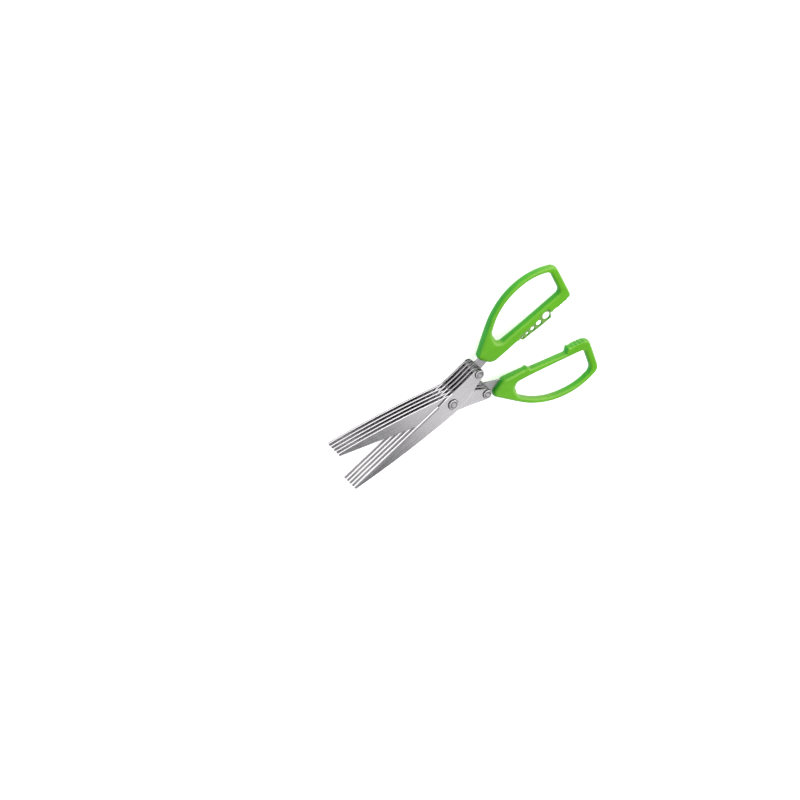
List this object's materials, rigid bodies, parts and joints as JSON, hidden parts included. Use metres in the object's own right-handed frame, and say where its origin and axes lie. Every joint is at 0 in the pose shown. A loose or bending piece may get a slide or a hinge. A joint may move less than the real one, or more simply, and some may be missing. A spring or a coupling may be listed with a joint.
{
  "type": "herb scissors",
  "caption": "Kitchen herb scissors: parallel pairs of steel blades on a pivot rivet, moulded plastic loop handles, and a leaf stripper plate with graded holes on a handle.",
  "frame": {"origin": "centre of the flat back head of the pivot rivet, the lowest face of the scissors as they lie", "axes": "+X from the pivot towards the blade tips, midway between the two halves; +Z along the pivot rivet, away from the surface the scissors lie on; +Y towards the front half's blades"},
  "size_m": [0.1956, 0.1071, 0.0205],
  "materials": {
    "blade_steel": "finely brushed",
    "rivet_steel": "polished",
    "spacer_steel": "plain turned",
    "handle_plastic": "semi-gloss, bright green"
  },
  "bodies": {
    "half_a": {"blade_a1": "blade_steel", "blade_a2": "blade_steel", "blade_a3": "blade_steel", "blade_a4": "blade_steel", "blade_a5": "blade_steel", "handle_a": "handle_plastic", "tang_rivet_a": "rivet_steel", "tang_spacer_a1": "spacer_steel", "tang_spacer_a2": "spacer_steel", "tang_spacer_a3": "spacer_steel", "tang_spacer_a4": "spacer_steel", "pivot_rivet": "rivet_steel", "pivot_washer_1": "spacer_steel", "pivot_washer_2": "spacer_steel", "pivot_washer_3": "spacer_steel", "pivot_washer_4": "spacer_steel"},
    "half_b": {"blade_b1": "blade_steel", "blade_b2": "blade_steel", "blade_b3": "blade_steel", "blade_b4": "blade_steel", "blade_b5": "blade_steel", "handle_b": "handle_plastic", "tang_rivet_b": "rivet_steel", "tang_spacer_b1": "spacer_steel", "tang_spacer_b2": "spacer_steel", "tang_spacer_b3": "spacer_steel", "tang_spacer_b4": "spacer_steel"}
  },
  "joints": [
    {"name": "blade_pivot", "type": "hinge", "parent": "half_a", "child": "half_b", "pos_m": [0, 0, 0], "axis": [0, 0, 1], "range_deg": [-40, 20.6]}
  ]
}
